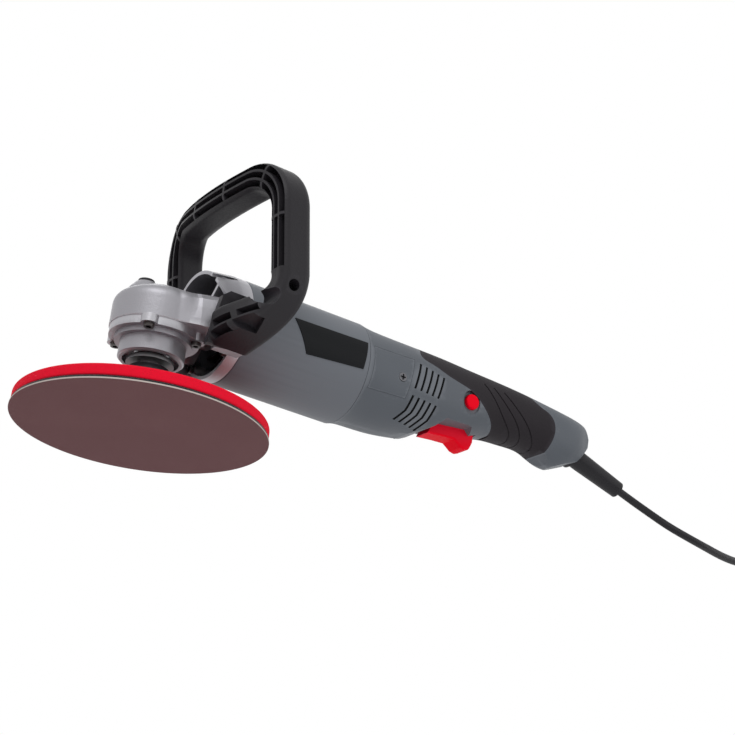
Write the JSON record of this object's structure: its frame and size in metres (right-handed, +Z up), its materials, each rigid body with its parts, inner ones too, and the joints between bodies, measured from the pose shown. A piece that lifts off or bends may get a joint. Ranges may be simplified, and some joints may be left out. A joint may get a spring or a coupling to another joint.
{
  "type": "rotary polisher",
  "caption": "Corded rotary polisher with a round foam pad and abrasive face, cast gear head, looped front handle, slim rear grip with paddle trigger, and a coiled mains lead.",
  "frame": {"origin": "centre of the abrasive face, which rests on the floor", "axes": "+Z up along the spindle, +X along the motor to the rear grip, -Y to the side with the lock-on button"},
  "size_m": [0.6545, 0.2993, 0.2008],
  "materials": {
    "abrasive": "coated abrasive paper",
    "hook_cloth": "hook and loop",
    "foam": "open-cell foam",
    "black_plastic": "moulded",
    "steel": "ground",
    "bearing_steel": "ground",
    "black_screw": "black oxide",
    "cast_aluminium": "bead-blasted casting",
    "grey_plastic": "fine texture",
    "laminations": "stacked sheet",
    "copper": "wound wire and bars",
    "carbon": "pressed carbon",
    "soft_grip": "soft overmould",
    "red_plastic": "moulded",
    "cord_rubber": "lead sheath",
    "pin_metal": "nickel plated"
  },
  "bodies": {
    "housing": {"bearing_flange": "cast_aluminium", "brush_box_left": "black_plastic", "brush_box_right": "black_plastic", "brush_cover_left": "grey_plastic", "brush_cover_right": "grey_plastic", "carbon_brush_left": "carbon", "carbon_brush_right": "carbon", "cord": "cord_rubber", "cord_coil": "cord_rubber", "cord_tail": "cord_rubber", "cord_tie": "cord_rubber", "cover_screw_left": "steel", "cover_screw_right": "steel", "field_coil_lower": "copper", "field_coil_upper": "copper", "flange_screw_1": "black_screw", "flange_screw_2": "black_screw", "flange_screw_3": "black_screw", "flange_screw_4": "black_screw", "front_bearing": "bearing_steel", "gear_case": "cast_aluminium", "handle_bolt_left": "black_screw", "handle_bolt_right": "black_screw", "handle_shell_left": "grey_plastic", "handle_shell_right": "grey_plastic", "head_screw_1": "black_screw", "head_screw_2": "black_screw", "head_screw_3": "black_screw", "head_screw_4": "black_screw", "loop_handle": "black_plastic", "lower_bearing": "bearing_steel", "motor_housing": "grey_plastic", "plug_body": "cord_rubber", "plug_pin_1": "pin_metal", "plug_pin_2": "pin_metal", "rear_bearing": "bearing_steel", "soft_grip_left": "soft_grip", "soft_grip_right": "soft_grip", "stator_core": "laminations", "strain_relief": "cord_rubber", "switch_body": "black_plastic", "trigger_pin": "steel", "upper_bearing": "bearing_steel"},
    "spindle": {"abrasive_disc": "abrasive", "hook_layer": "hook_cloth", "foam_pad": "foam", "backing_plate": "black_plastic", "spindle": "steel", "dust_ring": "steel", "bevel_gear": "steel"},
    "armature": {"armature_shaft": "steel", "armature_core": "laminations", "commutator": "copper", "fan": "black_plastic", "pinion": "steel"},
    "trigger": {"trigger": "red_plastic"},
    "lock_on": {"lock_on_button": "red_plastic"},
    "spindle_lock": {"spindle_lock_button": "black_plastic"}
  },
  "joints": [
    {"name": "spindle_turn", "type": "hinge", "parent": "housing", "child": "spindle", "pos_m": [0, 0, 0.05], "axis": [0, 0, 1], "continuous": true},
    {"name": "armature_turn", "type": "hinge", "parent": "housing", "child": "armature", "pos_m": [0.1, 0, 0.0919], "axis": [1, 0, 0], "continuous": true},
    {"name": "trigger_squeeze", "type": "hinge", "parent": "housing", "child": "trigger", "pos_m": [0.244, 0, 0.0815], "axis": [0, -1, 0], "range_deg": [0, 6], "stiffness_Nm_per_rad": 2, "springref_deg": -2.86},
    {"name": "lock_on_press", "type": "slide", "parent": "housing", "child": "lock_on", "axis": [0, 1, 0], "range_m": [0, 0.003], "stiffness_N_per_m": 500, "springref_m": -0.001},
    {"name": "spindle_lock_press", "type": "slide", "parent": "housing", "child": "spindle_lock", "axis": [0, 0, -1], "range_m": [0, 0.003], "stiffness_N_per_m": 800, "springref_m": -0.001}
  ],
  "couplings": [
    {"joint": "armature_turn", "follows": "spindle_turn", "ratio": 4.1}
  ]
}
